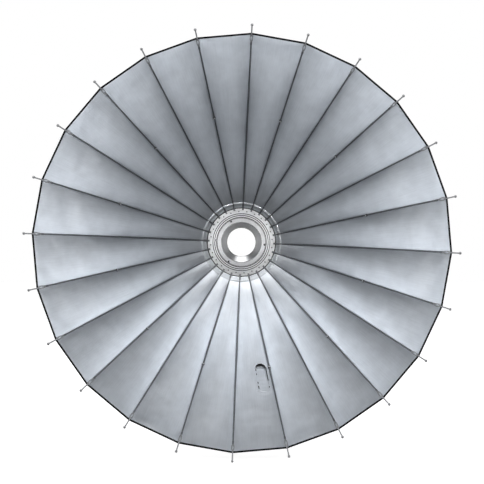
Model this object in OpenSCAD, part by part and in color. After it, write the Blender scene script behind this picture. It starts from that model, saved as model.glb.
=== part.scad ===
// Deep parabolic reflector softbox with 24 folding ribs, a silver fabric dish and a round hub.
// It is drawn with its axis along +Z and its open front towards +Z, in (r, z) about that axis,
// and facing() then turns it so that the axis is level, the front faces -Y and +Z is up.
// The origin is the centre of the rear bore at the hub's rear seat.

/* [Dish] */
// Radius of the open rim, at a rib
rim_r = 665; // [640:1:680]
// Angle of the first rib, clockwise from straight up as seen from the front
rib_phase = 2.6; // [0:0.1:7]
// Slope of the ribs where they leave the hub
hub_slope = 20; // [18:1:22]
// Slope of the ribs where the tight inner bend ends
mid_slope = 44; // [42:1:46]
// Slope of the ribs at the rim
rim_slope = 59; // [57:1:60]
// Radius of the inner bend of the ribs
inner_bend_r = 560; // [540:5:580]
// How far the tight fabric bows in towards the dish's axis in the middle of a gore, at most
bow = 7; // [0:1:12]
// Thickness of the fabric solid
cloth_t = 1.6; // [1.2:0.1:2]

/* [Ribs] */
// Diameter of the rib rods
rod_d = 4.5; // [4:0.1:4.6]
// Diameter of the ball on each rib tip
ball_d = 9; // [8:0.5:10]
// Radius of the circle of hinge pins
pivot_r = 119.2; // [119:0.1:119.4]
// Height of the hinge pins above the rear seat
pivot_z = 36; // [36:1:44]
// Length of the heel lever that reaches into the runner
heel_l = 15; // [15:0.1:15.2]
// Tilt of the heel lever towards the front when the dish is open
heel_tilt = 15; // [14:1:16]

/* [Hub] */
// Outer radius of the hub's rings
hub_r = 122; // [122:0.5:123]
// Radius of the rear bore
rear_bore_r = 52; // [48:1:54]
// Radius of the front edge of the tapered bore
front_bore_r = 71.5; // [70:0.5:72]
// Radius of the circle of bolt holes in the rear seat
rear_bolt_r = 84; // [82:1:86]
// Diameter of the bolt holes in the rear seat
rear_bolt_d = 5.2; // [4:0.1:6.6]

/* [Slot] */
// Distance from the axis to the middle of the slot
slot_r = 466; // [430:2:490]
// Length of the slot along the fabric
slot_l = 128; // [80:2:134]
// Width of the slot
slot_w = 35; // [24:1:36]
// Distance from the slot's middle to the rib beside it
slot_side = 30; // [28:1:34]
// Turn of the slot towards the direction of that rib
slot_turn = 3.5; // [0:0.5:7]

/* [Hidden] */
RIBS = 24;
PITCH = 360 / RIBS;
SLOT_GORE = 12;
function two(i) = str(i < 10 ? "0" : "", i);
$fn = 48;
gap = 0.3;         // between pieces that move past each other
hair = 0.05;       // between pieces that are pressed or screwed together
pin_r = 1.5;       // hinge pins
heel_r = 2;        // round end of a heel lever
root_w = 6.4;      // width of a rib's root fitting
slot_room = 7;     // width of the main ring's slots
socket_r = 3.2;    // outside of the root's socket
lug_r = 3.4;       // round lug about the hinge pin
root_l = 20;       // straight length from the hinge pin to the start of the bend
rod_start = 8;     // where the rod's end stands in its socket, from the hinge pin
eye_back = 22;     // how far inside the rim a tip piece starts, measured towards the axis
ball_out = 23;     // how far outside the rim the ball's middle is
shaft_r = 2.2;     // slim shaft of a tip piece
sleeve_l = 9;      // sleeve of a tip piece, on the end of the rod
cloth_back = 3.6;  // from the middle of a rod to the inner face of the fabric
hem_start = 7.2;   // where the fabric starts, from the hinge pin

// the rib's line in (r, z): a straight root, a tight bend, a long easy bend and a straight tip
function along(p, slope, d) = [p[0] + d * cos(slope), p[1] + d * sin(slope)];
function bend(p, from, to, radius) = [
    p[0] + radius * (sin(to) - sin(from)),
    p[1] + radius * (cos(from) - cos(to))
];
function bend_centre(p, from, radius) = [p[0] - radius * sin(from), p[1] + radius * cos(from)];
pivot = [pivot_r, pivot_z];
bend_start = along(pivot, hub_slope, root_l);
bend_mid = bend(bend_start, hub_slope, mid_slope, inner_bend_r);
outer_bend_r = (rim_r - eye_back - bend_mid[0]) / (sin(rim_slope) - sin(mid_slope));
bend_end = bend(bend_mid, mid_slope, rim_slope, outer_bend_r);
eye_l = eye_back / cos(rim_slope);
ball_at = (eye_back + ball_out) / cos(rim_slope);
rim = along(bend_end, rim_slope, eye_l);
slot_slope = asin(sin(mid_slope) + (slot_r - bend_mid[0]) / outer_bend_r);
slot_mid = bend(bend_mid, mid_slope, slot_slope, outer_bend_r);

// heights of the hub's layers above the rear seat
plate_t = 4;                         // back plate
wall_top = 22;                       // top of the housing's outer wall, under the main ring
slot_floor = pivot_z - 9;            // bottom of the main ring's slots
main_top = pivot_z + 1.6;            // main ring's front, under the notched ring
notched_top = pivot_z + 6.5;         // notched ring's front
flange_top = pivot_z + 9.2;          // front of the bore's flange
step_low = pivot_z + 9.3;            // underside of the stepped ring
step_top = pivot_z + 12.5;           // front of its outermost, lowest step
inner_wall_r = 107.9;                // inside of the main and notched rings
lock_r = 86;                         // outside of the lock ring's front
heel_out = heel_l * cos(heel_tilt);  // from the hinge pin's circle in to the heel's round end
groove_z = pivot_z + heel_l * sin(heel_tilt);
screw_r = 111.4;                     // circle of the ring screws
button_r = 93;                       // from the axis to the lock button
button_at = 274;
posts_at = [60, 180, 300];
knob_z = 11;

// turns the whole part from its drawing position into its own frame
module facing() rotate([90, 0, 0]) children();
// puts a shape drawn along +X at an angle clockwise from straight up
module at(angle) rotate([0, 0, 90 - angle]) children();
module rib_angle(i) at(rib_phase + PITCH * (i - 1)) children();
module each_gap() for (i = [1:RIBS]) at(rib_phase + PITCH * (i - 0.5)) children();
module each_rib() for (i = [1:RIBS]) rib_angle(i) children();
// a round bar across the rib's plane, and one along the rib at a slope
module across(p, r, w) translate([p[0], w / 2, p[1]]) rotate([90, 0, 0]) cylinder(r = r, h = w);
module bar(p, slope, r, l) translate([p[0], 0, p[1]]) rotate([0, 90 - slope, 0]) cylinder(r = r, h = l);
// a ring of rectangular section
module ring(r1, r2, z1, z2) rotate_extrude($fn = 180) translate([r1, z1]) square([r2 - r1, z2 - z1]);
// a sector of such a ring, between two angles clockwise from straight up
module arc_ring(r1, r2, z1, z2, from, to)
    at(to) rotate_extrude(angle = to - from, $fn = 180) translate([r1, z1]) square([r2 - r1, z2 - z1]);
// one bend of a rod
module rod_bend(p, from, to, radius) {
    c = bend_centre(p, from, radius);
    translate([c[0], 0, c[1]]) rotate([90, 0, 0]) rotate([0, 0, from - 90])
        rotate_extrude(angle = to - from, $fn = 360) translate([radius, 0]) circle(d = rod_d, $fn = 24);
}

// a very slight collar where two parts of a rod meet
module collar(p, slope) bar(along(p, slope, -0.6), slope, rod_d / 2 + 0.1, 1.2);

module rod() color([0.13, 0.13, 0.14]) {
    bar(along(pivot, hub_slope, rod_start), hub_slope, rod_d / 2, root_l - rod_start);
    rod_bend(bend_start, hub_slope, mid_slope, inner_bend_r);
    rod_bend(bend_mid, mid_slope, rim_slope, outer_bend_r);
    collar(bend_start, hub_slope);
    collar(bend_mid, mid_slope);
}
module root_fitting() color([0.2, 0.2, 0.21]) difference() {
    union() {
        across(pivot, lug_r, root_w);
        bar(pivot, hub_slope, socket_r, root_l - 2);
        translate([pivot[0], 0, pivot[1]]) rotate([0, heel_tilt, 0]) translate([-heel_l, -root_w / 2, -1.3])
            cube([heel_l, root_w, 2.6]);
        across([pivot_r - heel_out, groove_z], heel_r, root_w);
    }
    across(pivot, pin_r + hair, root_w + 2);
    bar(along(pivot, hub_slope, rod_start - gap), hub_slope, rod_d / 2 + hair, root_l);
}
// the tip lies along the end of the rod, so it is drawn along +X and tilted to the rim's slope
module tip() color([0.75, 0.76, 0.78]) translate([bend_end[0], 0, bend_end[1]]) rotate([0, -rim_slope, 0]) {
    difference() {
        union() {
            translate([-sleeve_l, 0, 0]) rotate([0, 90, 0]) cylinder(r = 3, h = sleeve_l + 3);
            lens(eye_l, 5.2, 2.4);
            translate([eye_l - 6, 0, 0]) rotate([0, 90, 0]) cylinder(r = shaft_r, h = ball_at - eye_l + 6);
            translate([ball_at, 0, 0]) sphere(d = ball_d);
        }
        translate([eye_l / 2 - 13, 0, 0]) lens(26, 2.8, 10);
        translate([-sleeve_l - 1, 0, 0]) rotate([0, 90, 0]) cylinder(r = rod_d / 2 + hair, h = sleeve_l + 1.3);
    }
}
// a plate whose outline is two arcs that meet in points
module lens(l, half_w, t) {
    radius = (l * l / 4 + half_w * half_w) / (2 * half_w);
    translate([l / 2, 0, -t / 2]) linear_extrude(t) intersection() {
        translate([0, half_w - radius]) circle(r = radius, $fn = 180);
        translate([0, radius - half_w]) circle(r = radius, $fn = 180);
    }
}
module rib(i) facing() rib_angle(i) {
    root_fitting();
    rod();
    tip();
}

// stations along a gore's seam: [r, z, slope]
stations = concat(
    [concat(along(pivot, hub_slope, hem_start), hub_slope)],
    [for (k = [0:4]) let (s = hub_slope + (mid_slope - hub_slope) * k / 4)
        concat(bend(bend_start, hub_slope, s, inner_bend_r), s)],
    [for (k = [1:4]) let (s = mid_slope + (rim_slope - mid_slope) * k / 4)
        concat(bend(bend_mid, mid_slope, s, outer_bend_r), s)],
    [concat(rim, rim_slope)]
);
LAST = len(stations) - 1;
ACROSS = [-1, -0.5, 0, 0.5, 1];
// how far in front of the chord the fabric stands at a station, in the middle of the gore
function bowed(st) = bow * sin(180 * (st[0] - stations[0][0]) / (stations[LAST][0] - stations[0][0]));
function gore_point(st, v, depth) =
    let (out = depth - bowed(st) * (1 - v * v), r = st[0] + depth * sin(st[2]))
    [r * cos(PITCH / 2) + (out - depth) * sin(st[2]), v * (r * sin(PITCH / 2) - gap), st[1] - out * cos(st[2])];
module gore_sheet() {
    n = len(ACROSS);
    inner = [for (st = stations) for (v = ACROSS) gore_point(st, v, cloth_back)];
    outer = [for (st = stations) for (v = ACROSS) gore_point(st, v, cloth_back + cloth_t)];
    m = len(inner);
    faces = concat(
        [for (i = [0:LAST - 1]) for (j = [0:n - 2]) [i * n + j, i * n + j + 1, (i + 1) * n + j + 1]],
        [for (i = [0:LAST - 1]) for (j = [0:n - 2]) [i * n + j, (i + 1) * n + j + 1, (i + 1) * n + j]],
        [for (i = [0:LAST - 1]) for (j = [0:n - 2]) [m + i * n + j, m + (i + 1) * n + j + 1, m + i * n + j + 1]],
        [for (i = [0:LAST - 1]) for (j = [0:n - 2]) [m + i * n + j, m + (i + 1) * n + j, m + (i + 1) * n + j + 1]],
        [for (j = [0:n - 2]) [j, m + j, m + j + 1]],
        [for (j = [0:n - 2]) [j, m + j + 1, j + 1]],
        [for (j = [0:n - 2]) [LAST * n + j, m + LAST * n + j + 1, m + LAST * n + j]],
        [for (j = [0:n - 2]) [LAST * n + j, LAST * n + j + 1, m + LAST * n + j + 1]],
        [for (i = [0:LAST - 1]) [i * n, (i + 1) * n, m + (i + 1) * n]],
        [for (i = [0:LAST - 1]) [i * n, m + (i + 1) * n, m + i * n]],
        [for (i = [0:LAST - 1]) [i * n + n - 1, m + (i + 1) * n + n - 1, (i + 1) * n + n - 1]],
        [for (i = [0:LAST - 1]) [i * n + n - 1, m + i * n + n - 1, m + (i + 1) * n + n - 1]]
    );
    polyhedron(points = concat(inner, outer), faces = faces, convexity = 4);
}
// the slot runs beside the gore's first rib, cut square through the fabric there
module slot_cut() {
    half_run = (slot_l - slot_w) / 2;
    translate([slot_mid[0], slot_r * sin(PITCH / 2) - slot_side, slot_mid[1]])
        rotate([0, -slot_slope, 0]) rotate([0, 0, slot_turn]) translate([0, 0, -60]) linear_extrude(120) {
            translate([-half_run, 0]) circle(d = slot_w);
            translate([half_run, 0]) circle(d = slot_w);
            translate([-half_run, -slot_w / 2]) square([2 * half_run, slot_w]);
        }
}
module gore(i) color([0.62, 0.64, 0.66]) facing() at(rib_phase + PITCH * (i - 0.5)) difference() {
    gore_sheet();
    if (i == SLOT_GORE) slot_cut();
}

module main_ring() color([0.1, 0.1, 0.11]) facing() difference() {
    ring(inner_wall_r, hub_r, wall_top, main_top);
    each_rib() translate([inner_wall_r - 2, -slot_room / 2, slot_floor])
        cube([hub_r - inner_wall_r + 4, slot_room, main_top - slot_floor + 1]);
    each_rib() {
        across(pivot, pin_r + hair, 14.4);
        translate([pivot_r - pin_r - hair, -7.2, pivot_z]) cube([2 * (pin_r + hair), 14.4, 5]);
    }
    each_gap() translate([screw_r, 0, main_top - 8]) cylinder(r = pin_r + hair, h = 9);
}
module notched_ring() color([0.82, 0.83, 0.85]) facing() difference() {
    ring(inner_wall_r, hub_r, main_top, notched_top);
    each_rib() {
        translate([pivot_r - lug_r - 0.4, -slot_room / 2, main_top - 1]) cube([10, slot_room, 7]);
        translate([inner_wall_r - 2, -slot_room / 2, main_top - 1]) cube([10, slot_room, 4.2]);
    }
    each_gap() {
        translate([screw_r, 0, main_top - 1]) cylinder(r = pin_r + hair, h = 9);
        translate([screw_r, 0, notched_top - 2]) cylinder(r = 2.3, h = 3);
    }
}
module hinge_pins() color([0.6, 0.6, 0.62]) facing() each_rib() across(pivot, pin_r, 14);
module ring_screws() color([0.15, 0.15, 0.16]) facing() each_gap() translate([screw_r, 0, 0]) {
    difference() {
        union() {
            translate([0, 0, notched_top - 2]) cylinder(r = 2.2, h = 1.8);
            translate([0, 0, main_top - 7.5]) cylinder(r = pin_r, h = notched_top - main_top + 6);
        }
        translate([0, 0, notched_top - 1.3]) cylinder(r = 1.2, h = 3, $fn = 6);
    }
}

// radii of the stepped ring's risers, from the outside in, and the size of each step and groove
risers = [102.1, 95.6, 89.1];
step_h = 0.7;
groove = 1.6;
function step_z(k) = step_top + step_h * k;
step_outline = concat(
    [[inner_wall_r - 0.6, step_low], [inner_wall_r - 0.6, notched_top], [inner_wall_r + 1, notched_top]],
    [[inner_wall_r + 1, step_z(0)]],
    [for (k = [0:len(risers) - 1]) each [
        [risers[k] + groove, step_z(k)], [risers[k] + groove, step_z(k) - groove],
        [risers[k], step_z(k) - groove], [risers[k], step_z(k + 1)]]],
    [[lock_r + 0.4, step_z(len(risers))], [lock_r + 0.4, step_low + 2.7], [lock_r + 1.7, step_low + 2.7]],
    [[lock_r + 1.7, step_low]]
);
module stepped_ring() color([0.8, 0.81, 0.83]) facing() difference() {
    rotate_extrude($fn = 180) polygon(step_outline);
    at(button_at) translate([button_r, 0, 0]) {
        cylinder(r = 4.5, h = 80);
        cylinder(r = 5.4, h = step_low + 2.8);
    }
}
module rear_housing() color([0.1, 0.1, 0.11]) facing() difference() {
    union() {
        rotate_extrude($fn = 180) polygon([
            [rear_bore_r, 0], [118, 0], [118, wall_top], [114.5, wall_top], [114.5, plate_t],
            [rear_bore_r + 4, plate_t], [front_bore_r + 3.3, flange_top - 2.7], [93.5, flange_top - 2.7],
            [93.5, flange_top], [front_bore_r, flange_top], [rear_bore_r, 6]
        ]);
        at(posts_at[1]) translate([112, 0, knob_z]) rotate([0, 90, 0]) cylinder(r = 6.9, h = 10);
    }
    for (a = posts_at) at(a) translate([101, 0, -1]) cylinder(r = 3.4, h = plate_t + 2);
    for (a = [45:90:315]) at(a) translate([rear_bolt_r, 0, -1]) cylinder(d = rear_bolt_d, h = plate_t + 2);
    at(posts_at[1]) translate([108, 0, knob_z]) rotate([0, 90, 0]) cylinder(r = 3 + hair, h = 20);
}

// the lock ring's four arc recesses and its three pins, as angles clockwise from straight up
recesses = [[24, 71], [114, 159], [215, 250], [295, 327]];
ring_pins_at = [94, 211, 331];
ring_pin_r = 2.2;
lock_low = flange_top + gap;
lock_top = step_z(len(risers)) - 1;
module lock_ring() color([0.78, 0.79, 0.81]) facing() difference() {
    rotate_extrude($fn = 180) polygon([
        [front_bore_r + 0.2, lock_low], [lock_r + 1.4, lock_low], [lock_r + 1.4, lock_low + 2.2],
        [lock_r, lock_low + 2.2], [lock_r, lock_top], [front_bore_r + 1, lock_top], [front_bore_r + 0.2, lock_top - 0.8]
    ]);
    for (a = recesses) arc_ring(80, 83.6, lock_top - 2.5, lock_top + 1, a[0], a[1]);
    for (a = ring_pins_at) at(a) translate([82.5, 0, lock_top - 3]) cylinder(r = ring_pin_r + hair, h = 5);
}
module lock_ring_pins() color([0.88, 0.88, 0.9]) facing() for (a = ring_pins_at) at(a) translate([82.5, 0, 0]) {
    translate([0, 0, lock_top - 2.9]) cylinder(r = ring_pin_r, h = 6.2);
    translate([0, 0, lock_top + 3.3]) intersection() {
        sphere(r = ring_pin_r);
        cylinder(r = 3, h = 3);
    }
}
button_low = step_low + 1.9;
module lock_button() color([0.85, 0.85, 0.87]) facing() at(button_at) translate([button_r, 0, 0]) difference() {
    union() {
        translate([0, 0, button_low]) cylinder(r = 5.2, h = 0.6);
        translate([0, 0, button_low]) cylinder(r = 4.4, h = 4.9);
    }
    translate([0, 0, button_low + 1]) cylinder(r = 2, h = 5);
}
// the runner's groove takes the heels' round ends, with room for the arc that they swing in
groove_half = heel_r + 0.8;
flange_t = 2.2;
runner_low = groove_z - groove_half - flange_t;
module runner() color([0.5, 0.5, 0.52]) facing() {
    difference() {
        ring(95, 107, runner_low, groove_z + groove_half + flange_t);
        ring(100.8, 110, groove_z - groove_half, groove_z + groove_half);
    }
    for (a = posts_at) at(a) translate([101, 0, -11.2]) cylinder(r = 3, h = runner_low + 11.3);
}
module pull_ring() color([0.12, 0.12, 0.13]) facing() difference() {
    rotate_extrude($fn = 180) polygon([
        [94, -3], [108, -3], [110, -5], [110, -11], [108, -13], [94, -13], [92.5, -11.5], [92.5, -4.5]
    ]);
    for (a = posts_at) at(a) translate([101, 0, -11.4]) cylinder(r = 3 + hair, h = 10);
}
module lock_knob() color([0.12, 0.12, 0.13]) facing() at(posts_at[1]) translate([0, 0, knob_z]) rotate([0, 90, 0]) {
    translate([0, 0, 104.4]) cylinder(r = 3, h = 20);
    difference() {
        translate([0, 0, 123]) cylinder(r = 11, h = 12);
        for (a = [0:30:330]) rotate([0, 0, a]) translate([12, 0, 122]) cylinder(r = 2.2, h = 14);
    }
}

for (i = [1:RIBS]) {
    rib(i);
    gore(i);
}
main_ring();
notched_ring();
hinge_pins();
ring_screws();
stepped_ring();
rear_housing();
lock_ring();
lock_ring_pins();
lock_button();
runner();
pull_ring();
lock_knob();
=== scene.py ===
import math

import bpy
import numpy as np
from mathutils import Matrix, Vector, noise


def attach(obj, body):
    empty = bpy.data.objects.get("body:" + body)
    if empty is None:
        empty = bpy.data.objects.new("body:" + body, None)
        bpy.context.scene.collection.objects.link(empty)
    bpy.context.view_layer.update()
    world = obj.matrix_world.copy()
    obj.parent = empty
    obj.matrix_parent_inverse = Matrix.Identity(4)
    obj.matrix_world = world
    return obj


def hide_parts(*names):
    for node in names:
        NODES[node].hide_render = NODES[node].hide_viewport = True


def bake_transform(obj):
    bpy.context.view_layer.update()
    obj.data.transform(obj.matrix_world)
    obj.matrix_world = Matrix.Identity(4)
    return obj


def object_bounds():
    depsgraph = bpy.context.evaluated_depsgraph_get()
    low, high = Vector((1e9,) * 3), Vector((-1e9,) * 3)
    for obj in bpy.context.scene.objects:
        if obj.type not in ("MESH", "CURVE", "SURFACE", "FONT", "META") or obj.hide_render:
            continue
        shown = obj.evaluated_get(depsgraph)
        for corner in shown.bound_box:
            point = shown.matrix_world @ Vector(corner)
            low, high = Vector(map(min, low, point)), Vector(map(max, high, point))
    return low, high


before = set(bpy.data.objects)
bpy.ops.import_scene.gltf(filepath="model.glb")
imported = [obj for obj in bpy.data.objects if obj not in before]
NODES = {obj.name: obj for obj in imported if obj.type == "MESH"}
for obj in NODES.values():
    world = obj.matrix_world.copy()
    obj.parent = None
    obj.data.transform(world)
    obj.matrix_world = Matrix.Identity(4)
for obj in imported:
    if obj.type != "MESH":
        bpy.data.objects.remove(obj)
CAD_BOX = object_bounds()

# ---------------------------------------------------------------- sizes, in metres
# The ribs' line in a plane through the axis, as part.scad draws it: a straight root, two bends and a
# straight tip. Heights are in front of the hub's rear seat, so a height h is at y = -h.
RIBS = 24
PITCH = math.radians(15)
PHASE = math.radians(2.6)
PIVOT_R, PIVOT_Z = 0.1192, 0.036
HUB_SLOPE, MID_SLOPE, RIM_SLOPE = (math.radians(a) for a in (20, 44, 59))
ROOT_L, INNER_BEND_R = 0.020, 0.560
RIM_R, EYE_BACK = 0.665, 0.022
ROD_R = 0.00225
CLOTH_BACK = 0.0036      # from a rod's middle line back to the silver face
CLOTH_T = 0.0008
HEM_START = 0.0072       # the fabric's inner edge, from the hinge pins
BOW = 0.007              # how far the tight cloth bows in, in the middle of a gore
SLOT_GORE, SLOT_R, SLOT_L, SLOT_W = 12, 0.466, 0.128, 0.035
SLOT_SIDE, SLOT_TURN = 0.030, math.radians(3.5)
KEEPER_R = 0.438         # radius of the keeper loops on every other rib
FLAP_MORE_L, FLAP_MORE_W = 0.034, 0.016       # how much longer and wider the slot's flap is than the slot
# Bar stitches beside the slot: where they start and end along it, and on which edge
SLOT_STITCHES = [
    (-0.040, -0.031, -1), (-0.018, -0.012, -1), (0.021, 0.029, -1), (0.040, 0.053, -1),
    (-0.044, 0.017, 1), (0.045, 0.050, 1),
]
HEM_END, HEM_LINES = 0.0262, (0.0125, 0.0232) # where the inner hem ends and is sewn, from the hinge pins
BINDING_W, BINDING_T, BINDING_IN = 0.0078, 0.0022, 0.0026    # rim tape: width, thickness, inset
# How far the cloth stands off its smooth shape: broad slack, small dents, gathers along the ribs, the pull
# of a keeper, and ripples at the sewn end of the slot
SLACK, DENTS, GATHERS, KEEPER_PULL, SLOT_RIPPLES = 0.0013, 0.0004, 0.00045, 0.0010, 0.0011

# ---------------------------------------------------------------- looks
THREAD_PITCH = 0.0011
STEP_GROOVE_SHADES = [(r, 0.0013) for r in (0.0865, 0.0899, 0.0964, 0.1029)]        # painted shade in the stepped ring's grooves: radius and half width
# painted shade: a dark line round the lock ring at the bore's front edge, as radius and half width
LOCK_BORE_EDGE_SHADE = [(0.0722, 0.0008)]
LOCK_PIN_SHADOWS = [(0.0838, a, 0.0040) for a in (96, 213, 333)]     # painted shadows beside the lock ring's pins, set 2 degrees and 1.3 mm off them: radius, direction, size of the dark spots
# colour of the painted shade in the hub rings' grooves and of the painted shadows beside the lock ring's
# pins
PAINTED_SHADE = (0.03, 0.03, 0.033)
CAMERA_BACK = 3.98       # from the rim to the camera
CAMERA_SIDE, CAMERA_UP = -0.018, 0.028
CAMERA_SHIFT = (-0.1 / 484, 1.25 / 484)      # in parts of the picture's width
LENS = 93.1
FLOOR_HALF = 14.0
# Softboxes that face the hub: name, place, width, height, power
SOFTBOXES = [
    ("key_softbox", (0.0, -4.02, 2.23), 3.8, 1.8, 68.0),
    ("top_softbox", (0.0, -1.32, 2.70), 3.6, 1.2, 30.0),
    ("back_softbox", (0.0, 2.40, 3.20), 2.0, 2.0, 30.0),
]
HUB_SPOT = 165.0
# Brightness of the room by direction, from 0 at the front or below to 1 at the back or above
WORLD_FRONT_TO_BACK = [
    (0.0, 0.32), (0.012, 0.32), (0.05, 0.04), (0.28, 0.04), (0.36, 0.7),
    (0.42, 2.0), (0.5, 2.0), (0.57, 0.5), (0.7, 0.2), (1.0, 0.2),
]
WORLD_DOWN_TO_UP = [(0.0, 0.35), (0.2, 0.6), (0.38, 0.98), (0.66, 0.9), (0.78, 0.3), (1.0, 0.1)]
WORLD_STRENGTH = 1.72


def bend_radius():
    """Radius of the ribs' outer bend, which ends where the tip pieces start."""
    r = PIVOT_R + ROOT_L * math.cos(HUB_SLOPE) + INNER_BEND_R * (math.sin(MID_SLOPE) - math.sin(HUB_SLOPE))
    return (RIM_R - EYE_BACK - r) / (math.sin(RIM_SLOPE) - math.sin(MID_SLOPE))


BEND_1 = ROOT_L + INNER_BEND_R * (MID_SLOPE - HUB_SLOPE)
BEND_2 = BEND_1 + bend_radius() * (RIM_SLOPE - MID_SLOPE)
RIM_D = BEND_2 + EYE_BACK / math.cos(RIM_SLOPE)


def rib_table():
    """Distance from the hinge pin, radius, height and slope along a rib's line, every half millimetre."""
    d = np.arange(0, RIM_D + 0.08, 0.0005)
    turns = [0, ROOT_L, BEND_1, BEND_2, d[-1]]
    s = np.interp(d, turns, [HUB_SLOPE, HUB_SLOPE, MID_SLOPE, RIM_SLOPE, RIM_SLOPE])
    mid = (s[1:] + s[:-1]) / 2
    r = PIVOT_R + np.concatenate([[0], np.cumsum(np.cos(mid) * np.diff(d))])
    z = PIVOT_Z + np.concatenate([[0], np.cumsum(np.sin(mid) * np.diff(d))])
    return d, r, z, s


TABLE = rib_table()


def rib_at(d):
    """(radius, height, slope) at a distance along the ribs' line."""
    return tuple(np.interp(d, TABLE[0], column) for column in TABLE[1:])


def distance_at(r):
    return float(np.interp(r, TABLE[1], TABLE[0]))


def rib_azimuth(i):
    """Direction of rib i, clockwise from straight up as seen from the front."""
    return PHASE + PITCH * (i - 1)


def to_world(azimuth, radial, sideways, height):
    """Part coordinates of points in a plane at an azimuth. sideways is clockwise as seen from the front."""
    sin, cos = math.sin(azimuth), math.cos(azimuth)
    return np.stack([radial * sin + sideways * cos, -height + 0 * radial, radial * cos - sideways * sin], -1)


def across_gore(d, v):
    """Distance sideways from a gore's middle, for v from -1 at its first rib to 1 at the next."""
    return v * rib_at(d)[0] * math.sin(PITCH / 2)


def gore_points(i, d, v, depth):
    """Points of gore i: d along the rib, v from -1 at rib i to 1 at the next, depth behind the rods."""
    r, z, s = rib_at(d)
    first, last = rib_at(HEM_START)[0], RIM_R
    bowed = BOW * np.sin(np.pi * np.clip((r - first) / (last - first), 0, 1)) * (1 - v * v)
    r = r + depth * np.sin(s)
    radial = r * math.cos(PITCH / 2) - bowed * np.sin(s)
    height = z - (depth - bowed) * np.cos(s)
    return to_world(rib_azimuth(i) + PITCH / 2, radial, v * r * math.sin(PITCH / 2), height)


# ---------------------------------------------------------------- mesh helpers
def mesh_object(name, points, faces, materials, indices=None, uv=None):
    """A mesh object from points and faces, with a material index for each face and a UV for each point."""
    me = bpy.data.meshes.new(name)
    corners = [tuple(p) for p in np.asarray(points, float)]
    me.from_pydata(corners, [], [tuple(int(k) for k in f) for f in faces])
    for m in materials:
        me.materials.append(m)
    if indices is not None:
        me.polygons.foreach_set("material_index", np.asarray(indices, np.int32))
    if uv is not None:
        layer = me.uv_layers.new(name="UVMap")
        loops = np.zeros(len(me.loops), np.int32)
        me.loops.foreach_get("vertex_index", loops)
        layer.data.foreach_set("uv", np.asarray(uv, np.float32)[loops].ravel())
    me.polygons.foreach_set("use_smooth", np.ones(len(me.polygons), bool))
    me.validate()
    me.update()
    ob = bpy.data.objects.new(name, me)
    bpy.context.scene.collection.objects.link(ob)
    return ob


def grid_faces(rows, columns, start=0, flip=False, closed=False):
    """Quads of a grid of points stored row by row. closed joins the last column to the first."""
    faces = []
    for a in range(rows - 1):
        for b in range(columns if closed else columns - 1):
            c = (b + 1) % columns
            quad = (start + a * columns + b, start + a * columns + c,
                    start + (a + 1) * columns + c, start + (a + 1) * columns + b)
            faces.append(quad[::-1] if flip else quad)
    return faces


def loop_faces(rows, columns):
    """Quads of a closed loop of points stored row by row, its last row and column joined to the first."""
    faces = []
    for a in range(rows):
        for b in range(columns):
            e, f = (a + 1) % rows, (b + 1) % columns
            faces.append((a * columns + b, a * columns + f, e * columns + f, e * columns + b))
    return faces


def sharpen(ob, degrees=40):
    """Keeps edges crisp that are sharper than an angle."""
    ob.data.set_sharp_from_angle(angle=math.radians(degrees))
    return ob


def closed_sheet(name, front, back, uv, materials, edge_index):
    """A closed sheet from two grids of points, its front in materials[0] and its back in materials[1]."""
    rows, columns = front.shape[:2]
    n = rows * columns
    faces = grid_faces(rows, columns) + grid_faces(rows, columns, n, flip=True)
    kinds = [0] * (len(faces) // 2) + [1] * (len(faces) // 2)
    border = [a * columns for a in range(rows)] + [(rows - 1) * columns + b for b in range(1, columns)]
    border += [a * columns + columns - 1 for a in range(rows - 2, -1, -1)] + list(range(columns - 2, 0, -1))
    for a, b in zip(border, border[1:] + border[:1]):
        faces.append((a, b, b + n, a + n))
        kinds.append(edge_index)
    points = np.concatenate([front.reshape(-1, 3), back.reshape(-1, 3)])
    ob = mesh_object(name, points, faces, materials, kinds, np.concatenate([uv, uv]))
    return outward(sharpen(ob, 50))


def sweep(name, centres, across, up, profile, materials):
    """A closed profile of (sideways, up) pairs, swept through points with these two directions at each."""
    centres, across, up = (np.asarray(x, float) for x in (centres, across, up))
    profile = np.asarray(profile, float)
    m = profile.shape[1]
    points = centres[:, None] + profile[..., :1] * across[:, None] + profile[..., 1:] * up[:, None]
    faces = grid_faces(len(centres), m, closed=True)
    faces += [tuple(range(m))[::-1], tuple((len(centres) - 1) * m + k for k in range(m))]
    along = np.concatenate([[0], np.cumsum(np.linalg.norm(np.diff(centres, axis=0), axis=1))])
    uv = np.stack([np.repeat(along, m), np.tile(np.linspace(0, 1, m), len(centres)) * 0.02], -1)
    return sharpen(outward(mesh_object(name, points.reshape(-1, 3), faces, materials, uv=uv)), 50)


def outward(ob):
    """Turns the faces of a closed mesh so that they look outwards."""
    me = ob.data
    co = np.array([v.co for v in me.vertices], float)
    volume = 0.0
    for p in me.polygons:
        k = p.vertices
        for j in range(1, len(k) - 1):
            volume += np.dot(co[k[0]], np.cross(co[k[j]], co[k[j + 1]]))
    if volume < 0:
        me.flip_normals()
    return ob


def rounded(width, height, radius, steps=3):
    """Outline of a rounded rectangle about the origin."""
    points = []
    for k, (sx, sy) in enumerate([(1, 1), (-1, 1), (-1, -1), (1, -1)]):
        for t in np.linspace(0, math.pi / 2, steps + 1):
            a = t + k * math.pi / 2
            points.append((sx * (width / 2 - radius) + radius * math.cos(a),
                           sy * (height / 2 - radius) + radius * math.sin(a)))
    return points


def gather(piece, i):
    """Bakes a piece's placement into its mesh and works out each point's angle about the dish's axis from
    rib i, a gore being a wedge; that angle is not used.
    """
    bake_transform(piece)
    co = np.array([v.co for v in piece.data.vertices], float)
    turned = np.arctan2(co[:, 0], co[:, 2]) - rib_azimuth(i)
    turned = (turned + math.pi) % (2 * math.pi) - math.pi
    return piece


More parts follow.
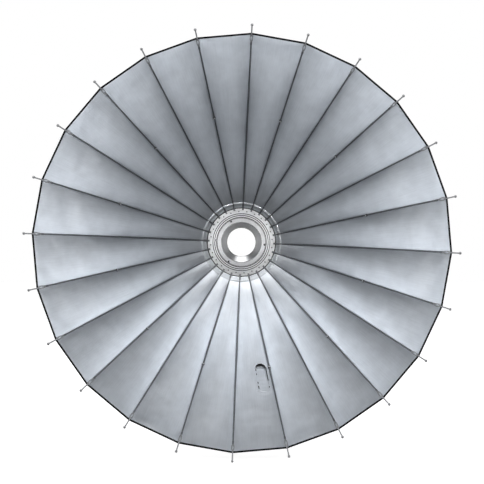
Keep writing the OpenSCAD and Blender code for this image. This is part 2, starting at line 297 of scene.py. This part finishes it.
# ---------------------------------------------------------------- material helpers
def new_material(name, **settings):
    """A material with a Principled shader, its inputs set by name with _ for spaces."""
    m = bpy.data.materials.new(name)
    m.use_nodes = True
    shader = m.node_tree.nodes["Principled BSDF"]
    for key, value in settings.items():
        shader.inputs[key.replace("_", " ")].default_value = value
    return m, m.node_tree, shader


def add(nt, kind, inputs=None, **settings):
    """A node with settings, and inputs by name or number, each a value or a socket."""
    n = nt.nodes.new("ShaderNode" + kind)
    for key, value in settings.items():
        setattr(n, key, value)
    for key, value in (inputs or {}).items():
        if isinstance(value, bpy.types.NodeSocket):
            nt.links.new(value, n.inputs[key])
        else:
            n.inputs[key].default_value = value
    return n


def math_node(nt, operation, a, b=0.0):
    return add(nt, "Math", {0: a, 1: b}, operation=operation).outputs[0]


def ramp(nt, value, stops):
    """A colour ramp; stops are (position, colour or grey)."""
    n = add(nt, "ValToRGB", {"Fac": value})
    while len(n.color_ramp.elements) < len(stops):
        n.color_ramp.elements.new(0.5)
    for e, (position, colour) in zip(n.color_ramp.elements, stops):
        e.position = position
        e.color = (*((colour,) * 3 if isinstance(colour, (int, float)) else colour), 1)
    return n.outputs["Color"]


def scaled(nt, vector, scale):
    return add(nt, "Mapping", {"Vector": vector, "Scale": scale}).outputs[0]


def noise_at(nt, vector, scale, detail=2.0, roughness=0.5):
    settings = {"Vector": vector, "Scale": scale, "Detail": detail, "Roughness": roughness}
    return add(nt, "TexNoise", settings).outputs["Fac"]


def remap(nt, value, start, end, low=0.0, high=1.0):
    """A value mapped from the range low..high to start..end, and kept within it."""
    settings = {"Value": value, "From Min": low, "From Max": high, "To Min": start, "To Max": end}
    return add(nt, "MapRange", settings).outputs[0]


def mix(nt, factor, a, b, kind="MIX"):
    n = add(nt, "Mix", data_type="RGBA", blend_type=kind)
    for key, value in ((0, factor), (6, a), (7, b)):
        if isinstance(value, bpy.types.NodeSocket):
            nt.links.new(value, n.inputs[key])
        elif key == 0:
            n.inputs[key].default_value = value
        else:
            n.inputs[key].default_value = (*value, 1)
    return n.outputs[2]


def two_tone(nt, value, low, high, dark, light):
    """Colour that goes from dark to light as a value goes from low to high."""
    return mix(nt, ramp(nt, value, [(low, 0.0), (high, 1.0)]), dark, light)


def blended(nt, a, part, b, rest):
    """Two values added in the given parts."""
    return math_node(nt, "ADD", math_node(nt, "MULTIPLY", a, part), math_node(nt, "MULTIPLY", b, rest))


def bump(nt, shader, height, strength, distance):
    n = add(nt, "Bump", {"Height": height, "Strength": strength, "Distance": distance})
    nt.links.new(n.outputs[0], shader.inputs["Normal"])


def weave(nt, coords, pitch):
    """Height of a plain weave with a thread pitch in metres, on coordinates in metres."""
    step = math.pi / pitch
    xyz = add(nt, "SeparateXYZ", {0: coords})
    a = math_node(nt, "SINE", math_node(nt, "MULTIPLY", xyz.outputs[0], step))
    b = math_node(nt, "SINE", math_node(nt, "MULTIPLY", xyz.outputs[1], step))
    return math_node(nt, "MULTIPLY", math_node(nt, "ABSOLUTE", a), math_node(nt, "ABSOLUTE", b))


# ---------------------------------------------------------------- materials
def silver_cloth(name, colour, roughness):
    """Woven cloth with a silver coating: threads, streaks along the gore and soft mottling."""
    m, nt, shader = new_material(name, Metallic=1.0)
    uv = add(nt, "UVMap", uv_map="UVMap").outputs[0]
    streaks = noise_at(nt, scaled(nt, uv, (9, 300, 1)), 1.0, 2, 0.5)
    mottle = noise_at(nt, scaled(nt, uv, (16, 22, 1)), 1.0, 3, 0.55)
    grain = noise_at(nt, uv, 900.0, 2, 0.6)
    tone = blended(nt, streaks, 0.35, mottle, 0.65)
    dark = tuple(c * 0.9 for c in colour)
    light = tuple(min(1.0, c * 1.06) for c in colour)
    nt.links.new(two_tone(nt, tone, 0.3, 0.7, dark, light), shader.inputs["Base Color"])
    rough = remap(nt, streaks, roughness - 0.02, roughness + 0.03, 0.3, 0.7)
    nt.links.new(rough, shader.inputs["Roughness"])
    bump(nt, shader, blended(nt, weave(nt, uv, THREAD_PITCH), 0.6, grain, 0.5), 0.22, 0.0006)
    return m


def black_cloth(name, pitch=0.0009, colour=(0.012, 0.012, 0.013), sheen=0.12, gloss=0.4):
    """Black nylon: a tight weave with a dull sheen."""
    m, nt, shader = new_material(name, Sheen_Weight=sheen, Sheen_Roughness=0.5, Specular_IOR_Level=gloss)
    uv = add(nt, "UVMap", uv_map="UVMap").outputs[0]
    wear = noise_at(nt, scaled(nt, uv, (25, 40, 1)), 1.0, 4, 0.6)
    light = tuple(c * 2.2 for c in colour)
    nt.links.new(two_tone(nt, wear, 0.35, 0.75, colour, light), shader.inputs["Base Color"])
    nt.links.new(remap(nt, wear, 0.5, 0.72), shader.inputs["Roughness"])
    bump(nt, shader, weave(nt, uv, pitch), 0.5, 0.0005)
    return m


def about_axis(nt):
    """Distance from the dish's axis, the object coordinates with y left out, and the object coordinates."""
    where = add(nt, "TexCoord").outputs["Object"]
    flat = add(nt, "VectorMath", {0: where, 1: (1, 0, 1)}, operation="MULTIPLY").outputs[0]
    return add(nt, "VectorMath", {0: flat}, operation="LENGTH").outputs["Value"], flat, where


def turned_metal(name, colour, roughness, anisotropic=0.55, metallic=1.0, worn=0.8, grooves=(), pins=()):
    """Lathe-turned metal with fine rings about the axis and stains.

    grooves: dark lines of painted shade, as (radius, half width). pins: dark spots of painted shadow beside
    let-in pins, as (distance from the axis, degrees clockwise from the top, radius).
    """
    m, nt, shader = new_material(name, Metallic=metallic, Anisotropic=anisotropic)
    radius, flat, where = about_axis(nt)
    rings = noise_at(nt, add(nt, "CombineXYZ", {0: radius}).outputs[0], 2600.0, 2, 0.7)
    stain = noise_at(nt, where, 55.0, 4, 0.6)
    tone = blended(nt, rings, 0.45, stain, 0.55)
    base = two_tone(nt, tone, 0.3, 0.62, tuple(c * worn for c in colour), colour)
    # painted shade: a dark line at each groove
    for middle, half in grooves:
        inside = add(nt, "Math", {0: radius, 1: middle, 2: half}, operation="COMPARE").outputs[0]
        base = mix(nt, inside, base, PAINTED_SHADE)
    # painted shadows: a dark spot beside each pin
    for r, degrees, half in pins:
        a = math.radians(degrees)
        centre = (r * math.sin(a), 0, r * math.cos(a))
        off = add(nt, "VectorMath", {0: flat, 1: centre}, operation="DISTANCE").outputs["Value"]
        base = mix(nt, math_node(nt, "LESS_THAN", off, half), base, PAINTED_SHADE)
    nt.links.new(base, shader.inputs["Base Color"])
    nt.links.new(remap(nt, tone, roughness + 0.07, roughness - 0.04, 0.3, 0.7), shader.inputs["Roughness"])
    nt.links.new(add(nt, "Tangent", direction_type="RADIAL", axis="Y").outputs[0], shader.inputs["Tangent"])
    bump(nt, shader, rings, 0.12, 0.0004)
    return m


def plain_metal(name, colour, roughness):
    """Polished or brushed metal with small scratches."""
    m, nt, shader = new_material(name, Metallic=1.0)
    where = add(nt, "TexCoord").outputs["Object"]
    marks = noise_at(nt, where, 160.0, 5, 0.65)
    dull = tuple(c * 0.82 for c in colour)
    nt.links.new(two_tone(nt, marks, 0.35, 0.65, dull, colour), shader.inputs["Base Color"])
    nt.links.new(remap(nt, marks, roughness, roughness + 0.12, 0.3, 0.7), shader.inputs["Roughness"])
    bump(nt, shader, marks, 0.08, 0.0004)
    return m


def rib_metal():
    """Dark satin rod, with a bright metal tip piece from just inside the rim outwards, and rubbed marks."""
    m, nt, shader = new_material("rib_finish", Specular_IOR_Level=0.5)
    radius, _, where = about_axis(nt)
    tip_from = float(rib_at(BEND_2)[0] + 0.0005)
    tip = remap(nt, radius, 0.0, 1.0, tip_from - 0.0003, tip_from)
    marks = noise_at(nt, where, 240.0, 4, 0.65)
    rod = two_tone(nt, marks, 0.4, 0.8, (0.20, 0.205, 0.215), (0.33, 0.335, 0.35))
    bright = two_tone(nt, marks, 0.3, 0.7, (0.34, 0.345, 0.355), (0.46, 0.465, 0.48))
    nt.links.new(mix(nt, tip, rod, bright), shader.inputs["Base Color"])
    nt.links.new(remap(nt, tip, 0.9, 0.35), shader.inputs["Metallic"])
    rough = math_node(nt, "ADD", remap(nt, tip, 0.26, 0.34), math_node(nt, "MULTIPLY", marks, 0.12))
    nt.links.new(rough, shader.inputs["Roughness"])
    bump(nt, shader, marks, 0.1, 0.0003)
    return m


def moulded(name, colour, roughness, grain=900.0):
    """Moulded or anodised black with a fine grain."""
    m, nt, shader = new_material(name, Specular_IOR_Level=0.45)
    where = add(nt, "TexCoord").outputs["Object"]
    dust = noise_at(nt, where, 40.0, 5, 0.65)
    light = tuple(c * 1.8 for c in colour)
    nt.links.new(two_tone(nt, dust, 0.45, 0.8, colour, light), shader.inputs["Base Color"])
    nt.links.new(remap(nt, dust, roughness - 0.06, roughness + 0.1), shader.inputs["Roughness"])
    bump(nt, shader, noise_at(nt, where, grain, 2, 0.5), 0.3, 0.0003)
    return m


def housing_finish():
    """Black anodised alloy whose tapered bore is bare satin metal."""
    m, nt, shader = new_material("housing_finish", Metallic=1.0)
    radius, _, where = about_axis(nt)
    y = add(nt, "SeparateXYZ", {0: where}).outputs[1]
    # the bore's wall runs from (52 mm, 6 mm) to (71.5 mm, 45.2 mm); outside it the metal is black
    wall = remap(nt, y, 0.0715, 0.052, -0.0452, -0.006)
    bare = remap(nt, math_node(nt, "SUBTRACT", wall, radius), 0.0, 1.0, -0.0012, -0.0008)
    bare = math_node(nt, "MULTIPLY", bare, math_node(nt, "LESS_THAN", y, -0.0085))
    stain = noise_at(nt, where, 50.0, 4, 0.6)
    silver = two_tone(nt, stain, 0.3, 0.7, (0.8, 0.81, 0.83), (0.92, 0.93, 0.94))
    black = two_tone(nt, stain, 0.4, 0.8, (0.02, 0.02, 0.022), (0.04, 0.04, 0.043))
    nt.links.new(mix(nt, bare, black, silver), shader.inputs["Base Color"])
    rough = math_node(nt, "ADD", math_node(nt, "MULTIPLY", stain, 0.15), 0.3)
    nt.links.new(rough, shader.inputs["Roughness"])
    rings = noise_at(nt, add(nt, "CombineXYZ", {0: y}).outputs[0], 2200.0, 2, 0.7)
    bump(nt, shader, rings, 0.08, 0.0003)
    return m


SILVER = silver_cloth("silver_cloth", (0.85, 0.885, 0.93), 0.30)
HEM_SILVER = silver_cloth("silver_hem", (0.64, 0.67, 0.70), 0.34)
BLACK = black_cloth("black_nylon")
TAPE = black_cloth("black_tape", 0.0014, (0.0025, 0.0025, 0.003), 0.01, 0.12)
ELASTIC = black_cloth("black_elastic", 0.0010, (0.02, 0.02, 0.022))
RIVET = plain_metal("rivet_metal", (0.93, 0.935, 0.95), 0.4)
RIB_FINISH = rib_metal()
SEAL = moulded("black_rubber", (0.006, 0.006, 0.0065), 0.7)


# ---------------------------------------------------------------- fabric
def wrinkle(i, points, d, v):
    """How far the cloth of gore i stands off its smooth shape, in metres, at each point."""
    out = np.zeros(d.shape)
    side = (1 - np.abs(v)) * rib_at(d)[0] * math.sin(PITCH / 2)     # distance to the nearer rib
    ends = np.clip((d - HEM_START - 0.02) / 0.03, 0, 1) * np.clip((RIM_D - d) / 0.02, 0, 1)
    flat_p, flat_d, flat_s = points.reshape(-1, 3), d.ravel(), side.ravel()
    soft = np.array([noise.noise(Vector(p) * 11.0 + Vector((i * 7.3, 0, 0))) for p in flat_p])
    seams = [Vector((a * 95.0, s * 22.0, i * 3.1 + 50.0)) for a, s in zip(flat_d, flat_s)]
    fine = np.array([noise.noise(p) for p in seams])
    dents = np.array([noise.noise(Vector(p) * 34.0 + Vector((0, i * 4.1, 0))) for p in flat_p])
    out += SLACK * soft.reshape(d.shape) * np.clip(side / 0.02, 0, 1)
    out += DENTS * dents.reshape(d.shape) * np.clip(side / 0.012, 0, 1)
    keeper_d = distance_at(KEEPER_R)
    tied = (v < 0) == (i % 2 == 0)
    near_keeper = np.exp(-((d - keeper_d) / 0.006) ** 2) * np.exp(-((side - 0.007) / 0.006) ** 2)
    out -= KEEPER_PULL * tied * near_keeper
    if i == SLOT_GORE:
        out += slot_puckers(flat_p, soft).reshape(d.shape)
    out += GATHERS * fine.reshape(d.shape) * np.exp(-side / 0.014) * np.clip(side / 0.004, 0, 1)
    return out * ends


def slot_puckers(points, soft):
    """Ripples in the cloth round the sewn end of the slot, nearer the rim."""
    centre, along, across, _ = slot_frame()
    x, y = (points - centre) @ along, (points - centre) @ across
    away = np.hypot(np.clip(np.abs(x) - (SLOT_L - SLOT_W) / 2, 0, None), y) - SLOT_W / 2
    near = np.exp(-((away - 0.014) / 0.010) ** 2) * np.clip(x / 0.05, 0, 1)
    return near * (SLOT_RIPPLES * np.cos(away / 0.0032) + 0.0010 * soft)


def gore_cloth(i, rows=112, columns=23):
    """The silver cloth of one gore, with its black outer face."""
    d = np.linspace(HEM_START, RIM_D, rows)[:, None] + np.zeros((1, columns))
    squeeze = 0.8 * math.pi / 2     # columns lie closer together near the ribs
    v = np.sin(np.linspace(-1, 1, columns) * squeeze) / math.sin(squeeze)
    v = v[None, :] + np.zeros((rows, 1))
    lift = wrinkle(i, gore_points(i, d, v, CLOTH_BACK), d, v)
    front = gore_points(i, d, v, CLOTH_BACK + lift)
    back = gore_points(i, d, v, CLOTH_BACK + CLOTH_T + lift)
    uv = np.stack([d.ravel(), across_gore(d, v).ravel() + i * 0.37], -1)
    return closed_sheet(f"gore_cloth_{i:02d}", front, back, uv, [SILVER, BLACK], 1)


def rim_binding(i, steps=40):
    """Black tape folded over a gore's rim edge."""
    v = np.linspace(-1, 1, steps)
    s = RIM_SLOPE
    middle = rib_azimuth(i) + PITCH / 2
    centres = gore_points(i, RIM_D - BINDING_IN + 0 * v, v, CLOTH_BACK + CLOTH_T / 2 + 0 * v)
    slope_dir = to_world(middle, math.cos(s), 0, math.sin(s))
    out_dir = to_world(middle, math.sin(s), 0, -math.cos(s))
    wave = 1 + 0.05 * np.sin(np.arange(steps) * 2.1 + i)
    outline = np.array(rounded(BINDING_W, BINDING_T, 0.0009))
    profile = np.stack([outline * (1, w) for w in wave])
    across, up = (np.repeat([way], steps, 0) for way in (slope_dir, out_dir))
    return sweep(f"rim_binding_{i:02d}", centres, across, up, profile, [TAPE])


def hem(i, rows=22, columns=25):
    """The doubled hem at a gore's inner edge: a soft band between two sewn lines."""
    d = np.linspace(HEM_START - 0.0006, HEM_END, rows)[:, None] + np.zeros((1, columns))
    v = np.linspace(-1, 1, columns)[None, :] * 0.985 + np.zeros((rows, 1))
    across = across_gore(d, v)
    puff = 0.0012 * np.ones(d.shape)
    for line in HEM_LINES:
        puff -= 0.0008 * np.exp(-((d - line) / 0.0009) ** 2)
    places = [Vector((a * 60.0, b * 9.0, i * 5.7)) for a, b in zip(d.ravel(), v.ravel())]
    pucker = np.array([noise.noise(p) for p in places]).reshape(d.shape)
    puff += 0.00018 * np.sin(across / 0.0022) * np.exp(-((d - HEM_LINES[0]) / 0.003) ** 2) + 0.0005 * pucker
    puff *= np.clip((HEM_END - d) / 0.0016, 0.15, 1)
    front = gore_points(i, d, v, CLOTH_BACK - puff)
    back = gore_points(i, d, v, CLOTH_BACK + 0.0001 + 0 * d)
    uv = np.stack([d.ravel(), across.ravel() + i * 0.37], -1)
    return closed_sheet(f"hem_{i:02d}", front, back, uv, [HEM_SILVER, HEM_SILVER], 0)


def seam(i, steps=90):
    """The sewn ridge behind a rib, where two gores' edges are turned outwards."""
    d = np.linspace(HEM_START + 0.002, RIM_D - 0.009, steps)
    r, z, s = rib_at(d)
    a = rib_azimuth(i)
    depth = CLOTH_BACK + CLOTH_T
    height = 0.0032 + 0.0004 * np.sin(d * 260 + i)
    centres = to_world(a, r + (depth + height / 2) * np.sin(s), 0 * d, z - (depth + height / 2) * np.cos(s))
    up = to_world(a, np.sin(s), 0 * d, -np.cos(s))
    across = np.repeat([to_world(a, 0, 1, 0)], steps, 0)
    profile = np.stack([np.array(rounded(0.0022, h, 0.0007)) for h in height])
    return sweep(f"seam_{i:02d}", centres, across, up, profile, [BLACK])


def keeper(i, steps=26):
    """A small elastic loop over a rod, held to the cloth behind by a bright rivet."""
    r, z, s = (float(x) for x in rib_at(distance_at(KEEPER_R)))
    a = rib_azimuth(i)
    centre = to_world(a, r, 0, z)
    along = to_world(a, math.cos(s), 0, math.sin(s))
    out = to_world(a, math.sin(s), 0, -math.cos(s))
    side = to_world(a, 0, 1, 0)
    t = np.linspace(-math.pi, math.pi, steps, endpoint=False)
    band = ROD_R + 0.0006
    x = band * np.sin(t) * (1 + 0.25 * (np.cos(t) < 0))
    y = -band * np.cos(t)
    y = np.where(y > 0, y * (CLOTH_BACK + 0.0003) / band, y)
    path = centre + x[:, None] * side + y[:, None] * out
    tangent = np.roll(path, -1, 0) - np.roll(path, 1, 0)
    tangent /= np.linalg.norm(tangent, axis=1)[:, None]
    normal = np.cross(tangent, along)
    profile = np.array(rounded(0.0052, 0.0010, 0.0004))
    points = path[:, None] + profile[None, :, :1] * along + profile[None, :, 1:] * normal[:, None]
    m = len(profile)
    uv = np.stack([np.repeat(np.arange(steps) * 0.0008, m), np.tile(np.arange(m) * 0.001, steps)], -1)
    name = f"keeper_loop_{i:02d}"
    loop = outward(mesh_object(name, points.reshape(-1, 3), loop_faces(steps, m), [ELASTIC], uv=uv))
    dome = rivet(f"keeper_rivet_{i:02d}", centre - out * (band + 0.0004), -out, side, 0.0029, 0.0014)
    for ob, slot in ((loop, "black_plastic"), (dome, "bright_metal")):
        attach(ob, f"rib_{i:02d}")


def rivet(name, base, direction, side, radius, height, rings=5, segments=16):
    """A domed rivet head with a thin flange."""
    other = np.cross(direction, side)
    flange = 0.00035
    outline = [(radius, -0.0002), (radius, 0.0002), (radius * 0.8, flange)]
    for t in np.linspace(0, math.pi / 2, rings)[1:-1]:
        outline.append((radius * 0.78 * math.cos(t), flange + (height - flange) * math.sin(t)))
    points = []
    for q, h in outline:
        for t in np.linspace(0, 2 * math.pi, segments, endpoint=False):
            points.append(base + direction * h + q * (math.cos(t) * side + math.sin(t) * other))
    faces = grid_faces(len(outline), segments, closed=True)
    points += [base + direction * height, base - direction * 0.0002]
    top, bottom = len(points) - 2, len(points) - 1
    last = (len(outline) - 1) * segments
    for k in range(segments):
        n = (k + 1) % segments
        faces.append((last + k, last + n, top))
        faces.append((n, k, bottom))
    return outward(mesh_object(name, points, faces, [RIVET]))


# ---------------------------------------------------------------- the slot in gore 12
def slot_frame():
    """Centre, along, side and out directions of the slot, as the CAD cuts it."""
    r, z, s = (float(x) for x in rib_at(distance_at(SLOT_R)))
    middle = rib_azimuth(SLOT_GORE) + PITCH / 2
    centre = to_world(middle, r, SLOT_SIDE - SLOT_R * math.sin(PITCH / 2), z)
    slope = to_world(middle, math.cos(s), 0, math.sin(s))
    out = to_world(middle, math.sin(s), 0, -math.cos(s))
    side = to_world(middle, 0, -1, 0)
    along = math.cos(SLOT_TURN) * slope + math.sin(SLOT_TURN) * side
    across = -math.sin(SLOT_TURN) * slope + math.cos(SLOT_TURN) * side
    return centre, along, across, out


def pill(length, width, steps=14):
    """Outline of a slot with round ends, as (along, across) pairs."""
    run, r = (length - width) / 2, width / 2
    points = []
    for end in (1, -1):
        for t in np.linspace(-math.pi / 2, math.pi / 2, steps):
            points.append((end * (run + r * math.cos(t)), end * r * math.sin(t)))
        points += [(end * x, end * r) for x in np.linspace(run, -run, 16)[1:-1]]
    return np.array(points)


def seal(inner=0.1221, outer=0.1345, low=0.0268, high=0.0282, segments=240):
    """A thin black washer round the hub, behind the fabric's inner edge, that closes the gap there."""
    edge = outer - 0.0004
    corners = [(inner, low), (inner, high), (edge, high), (outer, (low + high) / 2), (edge, low)]
    ang = np.linspace(0, 2 * math.pi, segments, endpoint=False)
    points = [(r * math.sin(t), -h, r * math.cos(t)) for r, h in corners for t in ang]
    ob = mesh_object("seal_washer", points, loop_faces(len(corners), segments), [SEAL])
    sharpen(outward(ob))
    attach(ob, "hub")


def cut_slot(cloth):
    """Cuts the slot through a cloth mesh with a boolean whose result is kept."""
    centre, along, across, out = slot_frame()
    outline = pill(SLOT_L, SLOT_W)
    n = len(outline)
    flat = centre + outline[:, :1] * along + outline[:, 1:] * across
    points = np.concatenate([flat - 0.05 * out, flat + 0.05 * out])
    faces = grid_faces(2, n, closed=True) + [tuple(range(n))[::-1], tuple(range(n, 2 * n))]
    cutter = outward(mesh_object("slot_cutter", points, faces, [BLACK]))
    change = cloth.modifiers.new("slot", "BOOLEAN")
    change.operation, change.solver, change.object = "DIFFERENCE", "EXACT", cutter
    bpy.context.view_layer.update()
    evaluated = cloth.evaluated_get(bpy.context.evaluated_depsgraph_get())
    result = bpy.data.meshes.new_from_object(evaluated)
    cloth.modifiers.clear()
    cloth.data = result
    bpy.data.objects.remove(cutter)


def slot_surroundings(rows=111, columns=61):
    """Points of the slot gore's smooth silver face round the slot, close together."""
    d = np.linspace(-0.11, 0.11, rows)[:, None] + distance_at(SLOT_R) + np.zeros((1, columns))
    v = np.linspace(-1, 1, columns)[None, :] + np.zeros((rows, 1))
    return gore_points(SLOT_GORE, d, v, CLOTH_BACK).reshape(-1, 3)


def on_cloth(points, out, lift=0.0):
    """Points moved along the slot's out direction onto the gore's silver face, and lift further forwards."""
    grid = slot_surroundings()
    result = []
    for p in points:
        off = grid - p
        h = off @ out
        flat = np.linalg.norm(off - h[:, None] * out, axis=1)
        near = np.argsort(flat)[:4]
        w = 1 / (flat[near] + 1e-5)
        result.append(p + out * (np.sum(h[near] * w) / np.sum(w) - lift))
    return np.array(result)


def slot_hem():
    """The turned and sewn edge round the slot."""
    centre, along, across, out = slot_frame()
    outline = pill(SLOT_L + 0.005, SLOT_W + 0.005, 16)
    path = on_cloth(centre + outline[:, :1] * along + outline[:, 1:] * across, out)
    n = len(path)
    tangent = np.roll(path, -1, 0) - np.roll(path, 1, 0)
    tangent /= np.linalg.norm(tangent, axis=1)[:, None]
    sideways = np.cross(tangent, out)
    k = np.arange(n)
    pucker = 1 + 0.22 * np.sin(k * 2.4)
    profile = np.array(rounded(0.0048, 0.0015, 0.0006))
    m = len(profile)
    height = profile[None, :, 1:] * pucker[:, None, None]
    points = path[:, None] + profile[None, :, :1] * sideways[:, None] + height * out
    uv = np.stack([np.repeat(k * 0.004, m), np.tile(np.arange(m) * 0.001, n)], -1)
    return outward(mesh_object("slot_hem", points.reshape(-1, 3), loop_faces(n, m), [SILVER], uv=uv))


def slot_stitches():
    """Dark bar stitches along the slot's two long edges, each a short raised thread."""
    centre, along, across, out = slot_frame()
    pieces = []
    for k, (first, last, edge) in enumerate(SLOT_STITCHES, 1):
        a = np.linspace(first, last, max(4, int((last - first) / 0.004)))[:, None]
        path = on_cloth(centre + a * along + edge * (SLOT_W / 2 + 0.0004) * across, out, 0.0009)
        outline = rounded(0.0026, 0.0012, 0.0005)
        profile, sides, ups = (np.repeat([x], len(path), 0) for x in (outline, across, out))
        pieces.append(sweep(f"slot_stitch_{k}", path, sides, ups, profile, [TAPE]))
    return pieces


def slot_flap(rows=64, columns=14):
    """The silver flap that hangs behind the slot, creased across where it folds."""
    centre, along, across, out = slot_frame()
    length, width = SLOT_L + FLAP_MORE_L, SLOT_W + FLAP_MORE_W
    a = np.linspace(-length / 2, length / 2, rows)[:, None] + np.zeros((1, columns))
    b = np.linspace(-width / 2, width / 2, columns)[None, :] + np.zeros((rows, 1))
    flat = centre + a[..., None] * along + b[..., None] * across
    base = on_cloth(flat.reshape(-1, 3), out).reshape(rows, columns, 3)
    edge = np.clip(np.minimum(length / 2 - np.abs(a), width / 2 - np.abs(b)) / 0.008, 0, 1)
    edge = edge * edge * (3 - 2 * edge)
    sag = np.clip((0.5 - a / length), 0, 1)
    crease = 0.00034 * np.sin((a + 0.08 * b) / 0.0030) * np.clip(sag * 2.2, 0.2, 1)
    depth = CLOTH_T + 0.0012 + edge * (0.0016 + 0.0075 * sag ** 3 + crease)
    back = base + depth[..., None] * out
    uv = np.stack([a.ravel(), b.ravel() + 3.0], -1)
    return closed_sheet("slot_flap", back, back + 0.0006 * out, uv, [SILVER, BLACK], 1)


def build_fabric():
    """The 24 gores with their trims, and the keepers on every other rib."""
    for i in range(1, RIBS + 1):
        cloth, edge, inner, ridge = gore_cloth(i), rim_binding(i), hem(i), seam(i)
        trims = [edge, inner]
        if i == SLOT_GORE:
            cut_slot(cloth)
            trims += [slot_hem()] + slot_stitches()
            flap = slot_flap()
            gather(flap, i)
        for piece in [cloth] + trims:
            gather(piece, i)
        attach(ridge, f"rib_{i:02d}")
        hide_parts(f"gore_{i:02d}")
        if i % 2 == 0:
            keeper(i)


def finish_frame():
    """Procedural materials for the CAD nodes that stay in view."""
    aluminium, dull, pale = (0.93, 0.935, 0.95), (0.80, 0.805, 0.82), (0.97, 0.975, 0.98)
    # the stepped and lock rings carry painted shade in their grooves; the lock ring also has painted shadows
    # beside its pins
    turned = turned_metal("turned_aluminium", aluminium, 0.36, metallic=0.45, grooves=STEP_GROOVE_SHADES)
    lock = turned_metal("lock_aluminium", dull, 0.40, metallic=0.45, grooves=LOCK_BORE_EDGE_SHADE, pins=LOCK_PIN_SHADOWS)
    ring = turned_metal("notched_aluminium", pale, 0.5, metallic=0.1, anisotropic=0.2, worn=0.62)
    bright = plain_metal("bright_metal", (0.88, 0.88, 0.9), 0.12)
    plastic = moulded("black_plastic", (0.014, 0.014, 0.015), 0.5, 1400.0)
    chosen = {
        "notched_ring": ring, "stepped_ring": turned, "lock_ring": lock, "runner": turned,
        "hinge_pins": plain_metal("pin_metal", (0.55, 0.55, 0.57), 0.3),
        "ring_screws": plain_metal("screw_metal", (0.10, 0.10, 0.11), 0.35),
        "lock_ring_pins": bright, "lock_button": bright,
        "main_ring": moulded("black_alloy", (0.02, 0.02, 0.022), 0.42),
        "rear_housing": housing_finish(), "pull_ring": plastic, "lock_knob": plastic,
    }
    for name, ob in NODES.items():
        m = RIB_FINISH if name.startswith("rib_") else chosen.get(name)
        if m is None:
            continue
        ob.data.materials.clear()
        ob.data.materials.append(m)
        ob.data.set_sharp_from_angle(angle=math.radians(30))


# ---------------------------------------------------------------- studio
def stand_floor():
    """A pale floor that the camera sees, and that neither darkens nor lights the object."""
    white = dict(Emission_Color=(1, 1, 1, 1), Emission_Strength=0.85)
    m, nt, shader = new_material("floor_finish", Roughness=0.8, **white)
    tone = noise_at(nt, add(nt, "TexCoord").outputs["Object"], 1.5, 3, 0.5)
    nt.links.new(mix(nt, tone, (0.86, 0.86, 0.86), (0.9, 0.9, 0.9)), shader.inputs["Base Color"])
    corners = [(x * FLOOR_HALF, y * FLOOR_HALF, 0) for x, y in ((-1, -1), (1, -1), (1, 1), (-1, 1))]
    floor = mesh_object("floor", corners, [(0, 1, 2, 3)], [m])
    floor.location.z = CAD_BOX[0].z - 0.0005
    floor.visible_glossy = False
    floor.visible_diffuse = False


def light_room():
    """The room that the silver cloth mirrors, brightest to the sides. The camera sees plain white."""
    world = bpy.data.worlds.new("studio")
    bpy.context.scene.world = world
    world.use_nodes = True
    nt = world.node_tree
    nt.nodes.clear()
    xyz = add(nt, "SeparateXYZ", {0: add(nt, "TexCoord").outputs["Generated"]})
    shades = []
    for socket, stops in ((xyz.outputs[1], WORLD_FRONT_TO_BACK), (xyz.outputs[2], WORLD_DOWN_TO_UP)):
        shades.append(ramp(nt, remap(nt, socket, 0.0, 1.0, -1.0, 1.0), stops))
    room = mix(nt, 1.0, shades[0], shades[1], "MULTIPLY")
    soft = add(nt, "Background", {"Color": room, "Strength": WORLD_STRENGTH}).outputs[0]
    white = add(nt, "Background", {"Color": (1, 1, 1, 1), "Strength": 1.0}).outputs[0]
    seen = add(nt, "LightPath").outputs["Is Camera Ray"]
    both = add(nt, "MixShader", {0: seen, 1: soft, 2: white})
    add(nt, "OutputWorld", {0: both.outputs[0]})


def aim(name, data, place, target):
    """Puts a light or a camera at a place in the scene, looking at a target."""
    ob = bpy.data.objects.new(name, data)
    bpy.context.scene.collection.objects.link(ob)
    ob.location = place
    ob.rotation_euler = (Vector(target) - Vector(place)).to_track_quat("-Z", "Y").to_euler()
    return ob


def hang_lights():
    """Softboxes, and a small spot on the hub."""
    for name, place, width, height, power in SOFTBOXES:
        data = bpy.data.lights.new(name, "AREA")
        data.shape, data.size, data.size_y, data.energy = "RECTANGLE", width, height, power
        aim(name, data, place, (0, 0, 0))
    data = bpy.data.lights.new("hub_spot", "SPOT")
    data.energy, data.spot_size, data.spot_blend = HUB_SPOT, math.radians(4.4), 0.35
    data.shadow_soft_size = 0.12
    aim("hub_spot", data, (0.0, -3.9, 1.3), (0, -0.04, 0))


def set_camera():
    """The camera in front of the dish, close to its axis, looking at the middle of the rim."""
    data = bpy.data.cameras.new("camera")
    data.sensor_width, data.lens, data.clip_end = 36.0, LENS, 60
    data.shift_x, data.shift_y = CAMERA_SHIFT
    rim_y = -float(rib_at(RIM_D)[1])
    place = (CAMERA_SIDE, rim_y - CAMERA_BACK, CAMERA_UP)
    bpy.context.scene.camera = aim("camera", data, place, (0, rim_y, 0))
    bpy.context.scene.view_settings.view_transform = "Standard"


stand_floor()
light_room()
hang_lights()
set_camera()
build_fabric()
seal()
finish_frame()
